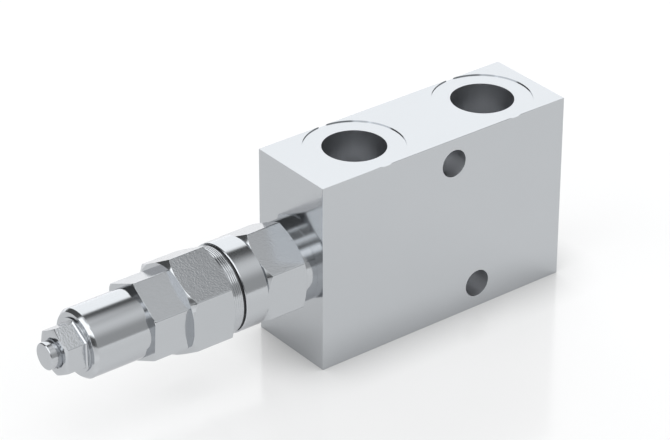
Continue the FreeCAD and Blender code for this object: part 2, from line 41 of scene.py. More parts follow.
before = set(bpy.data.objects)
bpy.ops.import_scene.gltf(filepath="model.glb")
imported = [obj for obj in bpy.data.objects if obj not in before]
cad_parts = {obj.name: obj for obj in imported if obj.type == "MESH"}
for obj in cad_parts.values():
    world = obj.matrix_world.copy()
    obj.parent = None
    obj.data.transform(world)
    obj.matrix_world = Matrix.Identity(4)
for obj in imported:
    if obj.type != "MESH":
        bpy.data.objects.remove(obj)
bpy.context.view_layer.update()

MM = 0.001
AXIS_Z = (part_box("lock_nut")[0].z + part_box("lock_nut")[1].z) / 2.0 / MM


def edges(node, axis="x"):
    """A CAD node's lowest and highest place along one axis, in millimetres."""
    low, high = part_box(node)
    return getattr(low, axis) / MM, getattr(high, axis) / MM


# Places taken from the CAD's nodes
face_x, block_right = edges("valve_body")
block_front, block_back = edges("valve_body", "y")
block_base, block_top = edges("valve_body", "z")
screw_left, screw_right = edges("adjusting_screw")
nut_left, nut_right = edges("lock_nut")
cap_left = edges("spring_cap")[0]
housing_left = edges("spring_housing")[0]
housing_right, collar_left = edges("housing_seal")

# Forms of the block
EDGE_BREAK = 0.15
EDGE_PROFILE = 0.6
PORT_CENTRES = (-22.0, 26.0)
PORT_RADIUS = 9.5
PORT_DEPTH = 16.0
SPOTFACE_RADIUS = 15.06
SPOTFACE_DEPTH = 0.3
DRILL_RADIUS = 5.8
CROSS_DRILL_RADIUS = 6.4
DRILL_POINT_SLOPE = 0.6
PILOT_CENTRE = -8.5
PILOT_RADIUS = 5.9
PILOT_DEPTH = 12.0
PILOT_CHAMFER = 0.9
PILOT_SEAT_RADIUS = 2.55
PILOT_SEAT_TOP = 16.0
PILOT_DRILL_RADIUS = 1.5
BOLT_RADIUS = 4.3
BOLT_CHAMFER = 0.03
BOLT_CENTRES = ((3.0, 52.0), (13.0, 8.0))
MOUTH_RADIUS = 12.0
MOUTH_DEPTH = 2.4
CAVITY = (
    (-31.0, 11.05), (-31.0, 10.2), (-16.4, 10.2), (-15.4, 9.25), (-6.0, 9.25), (-5.0, 8.65),
    (18.3, 8.65),
)

# Forms of the cartridge
WASHER_FACE_LENGTH = 3.8
WASHER_FACE_RADIUS = 12.55
BODY_FLATS = 25.4
BODY_TURN = 3.0
BODY_HEX_LENGTH = 14.2
BODY_INNER_CONE = 1.0
BODY_OUTER_CHAMFER = 1.9
BODY_OUTER_END = 12.3
COLLAR_RADIUS = 13.5
COLLAR_CHAMFER = 0.25
COLLAR_FACE_END = 12.1
HOUSING_FLATS = 27.0
HOUSING_CHAMFER = 1.3
HOUSING_END = 13.62
HOUSING_OVERLAP = 0.3
HOUSING_CONE = 1.2
HOUSING_RIM_RADIUS = 13.42
HOUSING_RIM = 3.2
HOUSING_RIM_END = 13.1
RIM_GROOVES = (2.5, 1.75, 1.1, 0.5)
RIM_GROOVE_DEPTH = 0.11
RIM_GROOVE_WIDTH = 0.22
CAP_FLATS = 22.6
CAP_TURN = 4.5
CAP_HEX_LENGTH = 12.0
CAP_OUTER_CHAMFER = 0.35
CAP_OUTER_END = 12.5
BARREL_RADIUS = 10.3
BARREL_CHAMFER_LENGTH = 1.1
BARREL_CHAMFER_DEPTH = 0.9
NUT_FLATS = 13.0
NUT_CHAMFER = 0.6
NUT_END = 6.3
NUT_LIP = 0.4
NUT_LIP_FLATS = 13.7
NUT_LIP_EDGE = 0.04
NUT_COUNTERSINK_LENGTH = 0.35
NUT_COUNTERSINK_DEPTH = 0.5
NUT_GAP = 0.02
SCREW_RADIUS = 4.0
SCREW_CHAMFER = 0.25
SHOULDER_RADIUS = 5.6
SHOULDER_LENGTH = 1.5
NUT_WASHER_RADIUS = 8.0
THREAD_CLEARANCE = 0.05
SEAL_BORE_RADIUS = 10.04

hexagons_meet = housing_left - HOUSING_OVERLAP

# How finely forms are drawn
TURN_STEPS = 180
TOOL_STEPS = 128
SMALL_TOOL_STEPS = 96
DRILLING_STEPS = 48
SECTOR_STEPS = 30
NEAR_CORNER = (0.0, 0.2, 0.4, 0.75)
CORNER_ROUND = 0.38
CORNER_SHARE = 0.4
EDGE_SOFTENING = 0.06
INNER_SOFTENING = 0.05
GROOVE_SOFTENING = 0.03
SEAL_SOFTENING = 0.2
FLAT_EDGE = 0.03
JOIN_STEP = 0.05
SHARP_ANGLE = 28.0
COIL_SHARP_ANGLE = 50.0

# How far a cutting form reaches past the face it starts from, and into a drilled wall
OVERCUT = 1.0
DRILLING_REACH = 12.0

# How far from a face or a hole its material still reaches
SIDE_MARGIN = 0.2
TOP_MARGIN = 0.1

# Forms inside the cartridge, as (X, radius)
SLEEVE_OUTSIDE = (
    (-45.0, 10.2), (-41.8, 10.2), (-41.0, 11.0), (-32.6, 11.0), (-31.8, 10.2), (-31.8, 8.7),
    (-15.4, 8.7), (-15.4, 9.2), (-14.3, 9.2), (-14.3, 7.6), (-11.1, 7.6), (-11.1, 9.2), (-10.0, 9.2),
    (-10.0, 8.0), (-5.0, 8.0), (-5.0, 8.6), (-2.6, 8.6), (-2.6, 7.0), (0.6, 7.0), (0.6, 8.6),
    (3.0, 8.6), (3.0, 8.4), (17.5, 8.4),
)
SLEEVE_BORES = (
    (17.5, 6.83), (16.5, 6.83), (16.5, 7.33), (15.5, 7.33), (15.5, 6.83), (6.2, 6.83), (6.2, 6.3),
    (1.0, 6.3), (1.0, 5.03), (-7.4, 5.03), (-7.4, 6.03), (-51.0, 6.03), (-51.0, 8.6), (-56.0, 8.6),
    (-56.0, 10.05), (-70.6, 10.05),
)
HOUSING_STUB = ((-71.4, 9.4), (-69.9, 9.4), (-69.9, 10.0), (-57.4, 10.0), (-56.6, 9.2))
HOUSING_BORES = (
    (-56.6, 8.2), (-78.8, 8.2), (-78.8, 9.85), (-86.7, 9.85), (-86.7, 11.25), (-88.7, 11.25),
)
CAP_STUB = ((-88.7, 9.8), (-80.2, 9.8), (-79.4, 9.0))
CAP_BORES = ((-79.4, 8.1), (-113.6, 8.1), (-113.6, 4.05), (-119.2, 4.05))

# Drillings through the sleeve, as (X, radius, how many)
SLEEVE_DRILLINGS = ((-22.0, 2.4, 4), (-8.95, 1.0, 2))


# Mesh helpers


def even_angles(count=TURN_STEPS):
    """Directions round an axis, evenly spread."""
    return [2.0 * math.pi * step / count for step in range(count)]


def hexagon_angles(turn):
    """Directions round the axis that come close together at a hexagon's corners."""
    even = [60.0 * step / SECTOR_STEPS for step in range(1, SECTOR_STEPS)]
    offsets = [*NEAR_CORNER, *even, *[60.0 - value for value in reversed(NEAR_CORNER[1:])]]
    return [math.radians(turn + 60.0 * side + offset) for side in range(6) for offset in offsets]


def placing(origin, axis):
    """A function from (along, radius, angle) in millimetres to a point, for forms on one axis."""
    along = Vector({"x": (1, 0, 0), "y": (0, 1, 0), "z": (0, 0, 1)}[axis])
    across = Vector({"x": (0, 0, 1), "y": (0, 0, 1), "z": (1, 0, 0)}[axis])
    beside = along.cross(across)
    start = Vector(origin)

    def place(distance, radius, angle):
        offset = across * (radius * math.cos(angle)) + beside * (radius * math.sin(angle))
        return (start + along * distance + offset) * MM

    return place


ON_AXIS = placing((0.0, 0.0, AXIS_Z), "x")


def ring(x, radius, angles):
    """One circle of a turned form."""
    return [(x, radius)] * len(angles)


def soften(points, amount=EDGE_SOFTENING, closed=False):
    """Rounds each corner of an outline with two short steps."""
    result = []
    for index, here in enumerate(points):
        if not closed and index in (0, len(points) - 1):
            result.append(tuple(here))
            continue
        corner = Vector(here)
        back = Vector(points[index - 1]) - corner
        ahead = Vector(points[(index + 1) % len(points)]) - corner
        reach = min(amount, CORNER_SHARE * back.length, CORNER_SHARE * ahead.length)
        start = corner + back.normalized() * reach
        end = corner + ahead.normalized() * reach
        middle = corner * 0.5 + (start + end) * 0.25
        result += [tuple(start), tuple(middle), tuple(end)]
    return result


def hexagon_radius(angle, flats, turn):
    """How far a hexagon with slightly rounded corners reaches in one direction."""
    half = flats / 2.0
    sixth = math.pi / 3.0
    from_corner = abs((angle - turn + sixth / 2.0) % sixth - sixth / 2.0)
    centre = (half - CORNER_ROUND) / math.cos(sixth / 2.0)
    tangent = math.atan2(CORNER_ROUND * math.sin(sixth / 2.0),
                         centre + CORNER_ROUND * math.cos(sixth / 2.0))
    if from_corner < tangent:
        reach = CORNER_ROUND ** 2 - (centre * math.sin(from_corner)) ** 2
        return centre * math.cos(from_corner) + math.sqrt(reach)
    return half / math.cos(sixth / 2.0 - from_corner)


def hexagon_rings(left, right, flats, turn, left_cone, right_cone, angles):
    """The rings of a hexagonal bar whose ends are turned down to cones, each (length, end radius)."""
    corner = flats / math.sqrt(3.0)
    turn = math.radians(turn)
    reaches = [hexagon_radius(angle, flats, turn) for angle in angles]

    def drop(radius, cone):
        length, end_radius = cone
        return length * max(0.0, radius - end_radius) / (corner - end_radius)

    def end_rings(place, inward, cone):
        return [
            [(place, min(cone[1], r - 2.0 * FLAT_EDGE)) for r in reaches],
            [(place + inward * drop(r - FLAT_EDGE, cone), r - FLAT_EDGE) for r in reaches],
            [(place + inward * (drop(r, cone) + FLAT_EDGE), r) for r in reaches],
        ]

    return end_rings(left, 1.0, left_cone) + end_rings(right, -1.0, right_cone)[::-1]


def skin(name, rings, angles, materials, flats_band=None, closed=True, place=ON_AXIS):
    """Joins rings into one surface. A ring of no radius closes to a point; one band may be flats."""
    work = bmesh.new()
    loops = []
    for entry in rings:
        if max(radius for _, radius in entry) < 1e-6:
            loops.append([work.verts.new(place(entry[0][0], 0.0, 0.0))])
        else:
            loops.append([work.verts.new(place(x, r, a)) for (x, r), a in zip(entry, angles)])
    pairs = list(zip(loops, loops[1:]))
    if closed:
        pairs.append((loops[-1], loops[0]))
    for band, (lower, upper) in enumerate(pairs):
        for step in range(len(angles)):
            after = (step + 1) % len(angles)
            if len(lower) == 1:
                corners = (lower[0], upper[after], upper[step])
            elif len(upper) == 1:
                corners = (lower[step], lower[after], upper[0])
            else:
                corners = (lower[step], lower[after], upper[after], upper[step])
            face = work.faces.new(corners)
            face.material_index = 1 if band == flats_band else 0
    bmesh.ops.recalc_face_normals(work, faces=work.faces)
    mesh = bpy.data.meshes.new(name)
    work.to_mesh(mesh)
    work.free()
    piece = bpy.data.objects.new(name, mesh)
    bpy.context.scene.collection.objects.link(piece)
    for material in materials:
        mesh.materials.append(material)
    return piece


def turned(name, outline, material, closed=True, amount=EDGE_SOFTENING):
    """A turned form from its (X, radius) outline, with softened corners."""
    angles = even_angles()
    rings = [ring(x, radius, angles) for x, radius in soften(outline, amount, closed)]
    return skin(name, rings, angles, [material], closed=closed)


def shade(piece, angle=SHARP_ANGLE):
    """Smooth shading with crisp edges; large flat faces keep their own normal."""
    piece.data.shade_smooth()
    piece.data.set_sharp_from_angle(angle=math.radians(angle))
    weighted = piece.modifiers.new("weighted_normals", "WEIGHTED_NORMAL")
    weighted.keep_sharp = True
    return piece


def cut(piece, tools):
    """Takes the tools' forms out of a piece."""
    for tool in tools:
        step = piece.modifiers.new(tool.name, "BOOLEAN")
        step.operation = "DIFFERENCE"
        step.solver = "EXACT"
        step.object = tool
    bpy.context.view_layer.update()
    graph = bpy.context.evaluated_depsgraph_get()
    mesh = bpy.data.meshes.new_from_object(piece.evaluated_get(graph))
    piece.modifiers.clear()
    old = piece.data
    piece.data = mesh
    bpy.data.meshes.remove(old)
    for tool in tools:
        bpy.data.objects.remove(tool)
    return piece


def stands_for(piece, node, body):
    """Hides the CAD node a piece replaces and attaches the piece to the body it moves with."""
    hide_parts(node)
    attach(piece, body)
    return piece


# Materials


def new_material(name, colour, metallic, roughness):
    """A material with its Principled shader set to plain values."""
    material = bpy.data.materials.new(name)
    material.use_nodes = True
    shader = material.node_tree.nodes["Principled BSDF"]
    shader.inputs["Base Color"].default_value = (*colour, 1.0)
    shader.inputs["Metallic"].default_value = metallic
    shader.inputs["Roughness"].default_value = roughness
    return material, material.node_tree, shader


def add_math(tree, operation, first, second=None):
    """A Math node fed by sockets or plain numbers."""
    node = tree.nodes.new("ShaderNodeMath")
    node.operation = operation
    for socket, value in zip(node.inputs, (first, second)):
        if value is None:
            continue
        if isinstance(value, (int, float)):
            socket.default_value = value
        else:
            tree.links.new(value, socket)
    return node.outputs[0]


def ranged(tree, value, low, high, to_low, to_high, smooth=False):
    """A Map Range node."""
    node = tree.nodes.new("ShaderNodeMapRange")
    node.interpolation_type = "SMOOTHSTEP" if smooth else "LINEAR"
    tree.links.new(value, node.inputs["Value"])
    labels = ("From Min", "From Max", "To Min", "To Max")
    for label, number in zip(labels, (low, high, to_low, to_high)):
        node.inputs[label].default_value = number
    return node.outputs["Result"]


def noise(tree, vector, scale, detail=2.0):
    """A Noise texture's value."""
    node = tree.nodes.new("ShaderNodeTexNoise")
    node.inputs["Scale"].default_value = scale
    node.inputs["Detail"].default_value = detail
    tree.links.new(vector, node.inputs["Vector"])
    return node.outputs["Fac"]


def place_vector(tree):
    """The piece's own coordinates, in metres."""
    return tree.nodes.new("ShaderNodeTexCoord").outputs["Object"]


def stretched(factors):
    """A function that gives the piece's coordinates, scaled apart along each axis."""
    def vector_of(tree):
        node = tree.nodes.new("ShaderNodeMapping")
        node.inputs["Scale"].default_value = factors
        tree.links.new(place_vector(tree), node.inputs["Vector"])
        return node.outputs["Vector"]

    return vector_of


RING_SPREAD = 0.2


def turned_vector(tree):
    """Coordinates in which noise becomes fine rings round the cartridge's axis."""
    split = tree.nodes.new("ShaderNodeSeparateXYZ")
    tree.links.new(place_vector(tree), split.inputs[0])
    y = split.outputs["Y"]
    z = add_math(tree, "SUBTRACT", split.outputs["Z"], AXIS_Z * MM)
    radius = add_math(tree, "SQRT", add_math(tree, "ADD", add_math(tree, "MULTIPLY", y, y),
                                             add_math(tree, "MULTIPLY", z, z)))
    around = add_math(tree, "MULTIPLY", add_math(tree, "ARCTAN2", y, z), RING_SPREAD * MM)
    join = tree.nodes.new("ShaderNodeCombineXYZ")
    tree.links.new(split.outputs["X"], join.inputs["X"])
    tree.links.new(radius, join.inputs["Y"])
    tree.links.new(around, join.inputs["Z"])
    return join.outputs[0]


def add_bump(tree, shader, height, distance, strength):
    """Feeds a height into the shader's normal."""
    bump = tree.nodes.new("ShaderNodeBump")
    bump.inputs["Distance"].default_value = distance
    bump.inputs["Strength"].default_value = strength
    tree.links.new(height, bump.inputs["Height"])
    tree.links.new(bump.outputs["Normal"], shader.inputs["Normal"])


NOISE_RANGE = (0.3, 0.7)


def vary(tree, shader, value, colour, roughness, spread, rough_spread):
    """Lets a noise value move the colour and the roughness a little either way."""
    mix = tree.nodes.new("ShaderNodeMix")
    mix.data_type = "RGBA"
    mix.inputs["A"].default_value = (*[part * (1.0 - spread) for part in colour], 1.0)
    mix.inputs["B"].default_value = (*[min(1.0, part * (1.0 + spread)) for part in colour], 1.0)
    tree.links.new(value, mix.inputs["Factor"])
    tree.links.new(mix.outputs["Result"], shader.inputs["Base Color"])
    rough = ranged(tree, value, *NOISE_RANGE, roughness - rough_spread, roughness + rough_spread)
    tree.links.new(rough, shader.inputs["Roughness"])


EDGE_TINT = (0.87, 0.87, 0.88, 1.0)
MARKS_DETAIL = 3.0
CLOUD_SCALE = 45.0
CLOUD_ROUGHNESS_SPREAD = 0.02
GRAIN_SPREAD = 0.08
GRAIN_ROUGHNESS_SPREAD = 0.05
GRAIN_DEPTH = 0.02
GRAIN_STRENGTH = 0.3


def steel(name, colour, roughness, vector_of, scale, depth, strength, spread=0.02):
    """Plated or plain steel: faint clouds, and tool marks of a depth in millimetres."""
    material, tree, shader = new_material(name, colour, 1.0, roughness)
    shader.inputs["Specular Tint"].default_value = EDGE_TINT
    marks = noise(tree, vector_of(tree), scale, MARKS_DETAIL)
    cloud = noise(tree, place_vector(tree), CLOUD_SCALE)
    vary(tree, shader, cloud, colour, roughness, spread, CLOUD_ROUGHNESS_SPREAD)
    add_bump(tree, shader, marks, depth * MM, strength)
    return material


def soft_goods(name, colour, roughness, scale):
    """Rubber or plastic with a faint grain."""
    material, tree, shader = new_material(name, colour, 0.0, roughness)
    grain = noise(tree, place_vector(tree), scale, MARKS_DETAIL)
    vary(tree, shader, grain, colour, roughness, GRAIN_SPREAD, GRAIN_ROUGHNESS_SPREAD)
    add_bump(tree, shader, grain, GRAIN_DEPTH * MM, GRAIN_STRENGTH)
    return material


# The block's outside, its large bores and its bolt holes, whose steel is lighter as painted light, the
# cartridge's turned faces and its flats, and the parts inside. After the marks' coordinates come
# their scale, depth and strength.
ZINC = (0.54, 0.557, 0.577)
GROUND = steel("ground_steel", ZINC, 0.13, place_vector, 900.0, 0.004, 0.25)
BORED = steel("bored_steel", (0.54, 0.55, 0.57), 0.36, stretched((4.0, 4.0, 0.25)), 500.0, 0.07, 1.0,
              spread=0.06)
# The bolt holes' steel is lighter than the rest: painted light, standing in for light that reaches into
# the through holes.
DRILLED_PAINTED_LIGHT = steel("drilled_steel_painted_light", (0.74, 0.75, 0.77), 0.42, stretched((1.0, 4.0, 1.0)), 900.0, 0.06, 0.9)
TURNED = steel("turned_steel", ZINC, 0.13, turned_vector, 5200.0, 0.003, 0.4)
MILLED = steel("milled_steel", ZINC, 0.12, place_vector, 1800.0, 0.027, 1.0)
HARDENED = steel("hardened_steel", (0.42, 0.43, 0.45), 0.24, turned_vector, 4200.0, 0.006, 0.4)
WIRE = steel("spring_wire", (0.26, 0.27, 0.29), 0.34, place_vector, 3000.0, 0.01, 0.4)
RUBBER = soft_goods("black_rubber", (0.025, 0.025, 0.027), 0.55, 5000.0)
DARK_SEAL = soft_goods("dark_seal", (0.03, 0.03, 0.033), 0.45, 5000.0)
PLASTIC = soft_goods("backup_plastic", (0.82, 0.82, 0.79), 0.42, 3500.0)


# The block


def port_outline():
    """A top port's tool: from the axis up through drilling, bore and spotface."""
    bottom = block_top - PORT_DEPTH
    point = (PORT_RADIUS - DRILL_RADIUS) * DRILL_POINT_SLOPE
    rim = block_top - SPOTFACE_DEPTH
    return [
        (AXIS_Z, 0.0), (AXIS_Z, DRILL_RADIUS), (bottom - point, DRILL_RADIUS), (bottom, PORT_RADIUS),
        (rim, PORT_RADIUS), (rim, SPOTFACE_RADIUS),
        (block_top + OVERCUT, SPOTFACE_RADIUS), (block_top + OVERCUT, 0.0),
    ]


def pilot_outline():
    """The pilot port's tool, from below."""
    wide = PILOT_RADIUS + PILOT_CHAMFER + OVERCUT
    return [
        (-OVERCUT, 0.0), (-OVERCUT, wide), (PILOT_CHAMFER, PILOT_RADIUS),
        (PILOT_DEPTH, PILOT_RADIUS), (PILOT_DEPTH, PILOT_SEAT_RADIUS),
        (PILOT_SEAT_TOP, PILOT_SEAT_RADIUS), (PILOT_SEAT_TOP, PILOT_DRILL_RADIUS),
        (AXIS_Z, PILOT_DRILL_RADIUS), (AXIS_Z, 0.0),
    ]


def cavity_outline():
    """The cartridge's cavity and the drilling on to the right-hand port."""
    drill_end = PORT_CENTRES[1] + DRILL_RADIUS
    mouth_floor = face_x + MOUTH_DEPTH
    return [
        (face_x - OVERCUT, 0.0), (face_x - OVERCUT, MOUTH_RADIUS), (mouth_floor, MOUTH_RADIUS),
        (mouth_floor, CAVITY[0][1]), *CAVITY, (CAVITY[-1][0], CROSS_DRILL_RADIUS),
        (drill_end, CROSS_DRILL_RADIUS), (drill_end + CROSS_DRILL_RADIUS * DRILL_POINT_SLOPE, 0.0),
    ]


def bolt_outline():
    """A bolt hole's tool, with its edges just broken at the front and the back."""
    wide = BOLT_RADIUS + BOLT_CHAMFER + OVERCUT
    front, back = block_front - OVERCUT, block_back + OVERCUT
    return [
        (front, 0.0), (front, wide), (block_front + BOLT_CHAMFER, BOLT_RADIUS),
        (block_back - BOLT_CHAMFER, BOLT_RADIUS), (back, wide), (back, 0.0),
    ]


def plain_tool(name, outline, place, count=TOOL_STEPS):
    """A cutting form with sharp corners."""
    angles = even_angles(count)
    rings = [ring(x, radius, angles) for x, radius in outline]
    return skin(name, rings, angles, [BORED], closed=False, place=place)


def block_surface(x, y, z):
    """Which of the block's materials a face gets from its place: outside, bore or bolt hole."""
    near_side = min(x - face_x, block_right - x, y - block_front, block_back - y, z - block_base)
    if near_side < EDGE_BREAK + SIDE_MARGIN or block_top - z < SPOTFACE_DEPTH + TOP_MARGIN:
        return 0
    for bolt_x, bolt_z in BOLT_CENTRES:
        if math.hypot(x - bolt_x, z - bolt_z) < BOLT_RADIUS + SIDE_MARGIN:
            return 2
    return 1


def block():
    """The drilled block with its edges broken."""
    work = bmesh.new()
    bmesh.ops.create_cube(work, size=1.0)
    low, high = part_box("valve_body")
    form = Matrix.Translation((low + high) / 2.0) @ Matrix.Diagonal((*(high - low), 1.0))
    bmesh.ops.transform(work, matrix=form, verts=work.verts)
    bmesh.ops.bevel(work, geom=list(work.edges), offset=EDGE_BREAK * MM, segments=2,
                    profile=EDGE_PROFILE, affect="EDGES")
    mesh = bpy.data.meshes.new("block")
    work.to_mesh(mesh)
    work.free()
    piece = bpy.data.objects.new("block", mesh)
    bpy.context.scene.collection.objects.link(piece)
    for material in (GROUND, BORED, DRILLED_PAINTED_LIGHT):
        mesh.materials.append(material)
    tools = [plain_tool("port_tool_%d" % number, port_outline(), placing((x, 0.0, 0.0), "z"))
             for number, x in enumerate(PORT_CENTRES)]
    tools.append(plain_tool("pilot_tool", pilot_outline(), placing((PILOT_CENTRE, 0.0, 0.0), "z"),
                            SMALL_TOOL_STEPS))
    tools.append(plain_tool("cavity_tool", cavity_outline(), ON_AXIS))
    for number, (x, z) in enumerate(BOLT_CENTRES):
        tools.append(plain_tool("bolt_tool_%d" % number, bolt_outline(), placing((x, 0.0, z), "y"),
                                SMALL_TOOL_STEPS))
    cut(piece, tools)
    for face in piece.data.polygons:
        face.material_index = block_surface(*[part / MM for part in face.center])
    return stands_for(shade(piece), "valve_body", "valve")


# The cartridge


def lathe_rings(outline, angles, amount=EDGE_SOFTENING):
    """Rings of an open outline with softened corners."""
    return [ring(x, radius, angles) for x, radius in soften(outline, amount)]


def cartridge():
    """Collar, hexagon, washer face and the drilled sleeve."""
    hex_left = face_x - WASHER_FACE_LENGTH - BODY_HEX_LENGTH
    hex_right = face_x - WASHER_FACE_LENGTH
    angles = hexagon_angles(BODY_TURN)
    collar = lathe_rings([
        (collar_left, SLEEVE_BORES[-1][1]), (collar_left, COLLAR_RADIUS - COLLAR_CHAMFER),
        (collar_left + COLLAR_CHAMFER, COLLAR_RADIUS), (hex_left, COLLAR_RADIUS),
        (hex_left, COLLAR_FACE_END),
    ], angles)
    hexagon = hexagon_rings(
        hex_left, hex_right, BODY_FLATS, BODY_TURN,
        (BODY_OUTER_CHAMFER, BODY_OUTER_END), (BODY_INNER_CONE, WASHER_FACE_RADIUS), angles)
    washer_face = lathe_rings([
        (hex_right + JOIN_STEP, WASHER_FACE_RADIUS), (face_x, WASHER_FACE_RADIUS), SLEEVE_OUTSIDE[0],
    ], angles)
    sleeve = lathe_rings(SLEEVE_OUTSIDE, angles, INNER_SOFTENING)
    bores = lathe_rings(SLEEVE_BORES, angles, INNER_SOFTENING)
    rings = collar + hexagon + washer_face[:-1] + sleeve + bores
    piece = skin("cartridge_shell", rings, angles, [TURNED, MILLED], flats_band=len(collar) + 2)
    tools = []
    for x, radius, count in SLEEVE_DRILLINGS:
        for step in range(count):
            name = "drilling_%d_%d" % (round(-x), step)
            outline = [(0.0, 0.0), (0.0, radius), (DRILLING_REACH, radius), (DRILLING_REACH, 0.0)]
            tool = plain_tool(name, outline, placing((0.0, 0.0, 0.0), "z"), DRILLING_STEPS)
            around = Matrix.Rotation(2.0 * math.pi * step / count, 4, "X")
            shift = Matrix.Translation(Vector((x, 0.0, AXIS_Z)) * MM)
            tool.data.transform(shift @ around)
            tools.append(tool)
    cut(piece, tools)
    return stands_for(shade(piece), "cartridge_body", "valve")


def housing():
    """The large hexagon with its cone and grooved rim."""
    rim = housing_right - HOUSING_RIM
    angles = hexagon_angles(0.0)
    hexagon = hexagon_rings(
        hexagons_meet, rim, HOUSING_FLATS, 0.0, (HOUSING_CHAMFER, HOUSING_END),
        (HOUSING_CONE, HOUSING_RIM_RADIUS), angles)
    slope = (HOUSING_RIM_RADIUS - HOUSING_RIM_END) / HOUSING_RIM
    outline = [(rim + JOIN_STEP, HOUSING_RIM_RADIUS - JOIN_STEP * slope)]
    for from_seal in RIM_GROOVES:
        x = housing_right - from_seal
        surface = HOUSING_RIM_END + from_seal * slope
        outline += [
            (x - RIM_GROOVE_WIDTH / 2.0, surface), (x, surface - RIM_GROOVE_DEPTH),
            (x + RIM_GROOVE_WIDTH / 2.0, surface),
        ]
    outline += [(housing_right, HOUSING_RIM_END), HOUSING_STUB[0]]
    grooves = lathe_rings(outline, angles, GROOVE_SOFTENING)
    stub = lathe_rings(HOUSING_STUB, angles, INNER_SOFTENING)
    bores = lathe_rings(HOUSING_BORES, angles, INNER_SOFTENING)
    rings = hexagon + grooves[:-1] + stub + bores
    piece = skin("spring_housing_shell", rings, angles, [TURNED, MILLED], flats_band=2)
    return stands_for(shade(piece), "spring_housing", "valve")


def cap():
    """The barrel, the hexagon and the stub, in one piece."""
    hex_left = housing_left - CAP_HEX_LENGTH
    angles = hexagon_angles(CAP_TURN)
    barrel = lathe_rings([
        CAP_BORES[-1], (cap_left, BARREL_RADIUS - BARREL_CHAMFER_DEPTH),
        (cap_left + BARREL_CHAMFER_LENGTH, BARREL_RADIUS), (hex_left, BARREL_RADIUS),
    ], angles)[1:]
    cone = (CAP_OUTER_CHAMFER, CAP_OUTER_END)
    hexagon = hexagon_rings(hex_left, hexagons_meet, CAP_FLATS, CAP_TURN, cone, cone, angles)[:3]
    hexagon.append([(hexagons_meet, radius) for _, radius in hexagon[2]])
    stub = lathe_rings(CAP_STUB, angles, INNER_SOFTENING)
    bores = lathe_rings(CAP_BORES, angles, INNER_SOFTENING)
    rings = barrel + hexagon + stub + bores
    piece = skin("spring_cap_shell", rings, angles, [TURNED, MILLED], flats_band=len(barrel) + 2)
    return stands_for(shade(piece), "spring_cap", "valve")


def nut():
    """The lock nut, chamfered at its outer end and with a small lip at its inner one."""
    angles = hexagon_angles(0.0)
    bore = SCREW_RADIUS + THREAD_CLEARANCE
    cone = (NUT_CHAMFER, NUT_END)
    end = nut_right - NUT_GAP
    hexagon = hexagon_rings(nut_left, end, NUT_FLATS, 0.0, cone, cone, angles)[:3]
    lip = ((end - NUT_LIP, NUT_FLATS), (end - NUT_LIP_EDGE, NUT_LIP_FLATS), (end, NUT_LIP_FLATS))
    for x, flats in lip:
        hexagon.append([(x, hexagon_radius(angle, flats, 0.0)) for angle in angles])
    wide = bore + NUT_COUNTERSINK_DEPTH
    inside = lathe_rings([
        (end, wide), (end - NUT_COUNTERSINK_LENGTH, bore),
        (nut_left + NUT_COUNTERSINK_LENGTH, bore), (nut_left, wide),
    ], angles)
    piece = skin("lock_nut_shell", hexagon + inside, angles, [TURNED, MILLED], flats_band=2)
    return stands_for(shade(piece), "lock_nut", "nut")


def nut_washer():
    """The thin sealing washer under the nut."""
    bore = SCREW_RADIUS + THREAD_CLEARANCE
    outline = [
        (nut_right, bore), (nut_right, NUT_WASHER_RADIUS),
        (cap_left, NUT_WASHER_RADIUS), (cap_left, bore),
    ]
    piece = turned("nut_washer_shell", outline, TURNED)
    return stands_for(shade(piece), "nut_washer", "nut_washer")


def screw():
    """The adjusting screw with its captive shoulder."""
    shoulder = screw_right - SHOULDER_LENGTH
    outline = [
        (screw_left, 0.0), (screw_left, SCREW_RADIUS - SCREW_CHAMFER),
        (screw_left + SCREW_CHAMFER, SCREW_RADIUS), (shoulder, SCREW_RADIUS),
        (shoulder, SHOULDER_RADIUS), (screw_right, SHOULDER_RADIUS), (screw_right, 0.0),
    ]
    piece = turned("adjusting_screw_shell", outline, TURNED, closed=False)
    return stands_for(shade(piece), "adjusting_screw", "screw")


def seal_ring():
    """The dark seal between the collar and the spring housing."""
    low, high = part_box("housing_seal")
    radius = (high.z - low.z) / 2.0 / MM
    outline = [
        (housing_right, SEAL_BORE_RADIUS), (housing_right, radius),
        (collar_left, radius), (collar_left, SEAL_BORE_RADIUS),
    ]
    piece = turned("housing_seal_ring", outline, DARK_SEAL, amount=SEAL_SOFTENING)
    return stands_for(shade(piece), "housing_seal", "valve")


# Springs

# The CAD node, the coil's mean radius, the wire's diameter and the turns
MAIN_SPRING = ("main_spring", 6.2, 2.8, 6.5)
CHECK_SPRING = ("check_spring", 5.7, 0.8, 2.5)

STEPS_PER_TURN = 48
WIRE_SIDES = 14
CLOSED_PITCH = 1.02


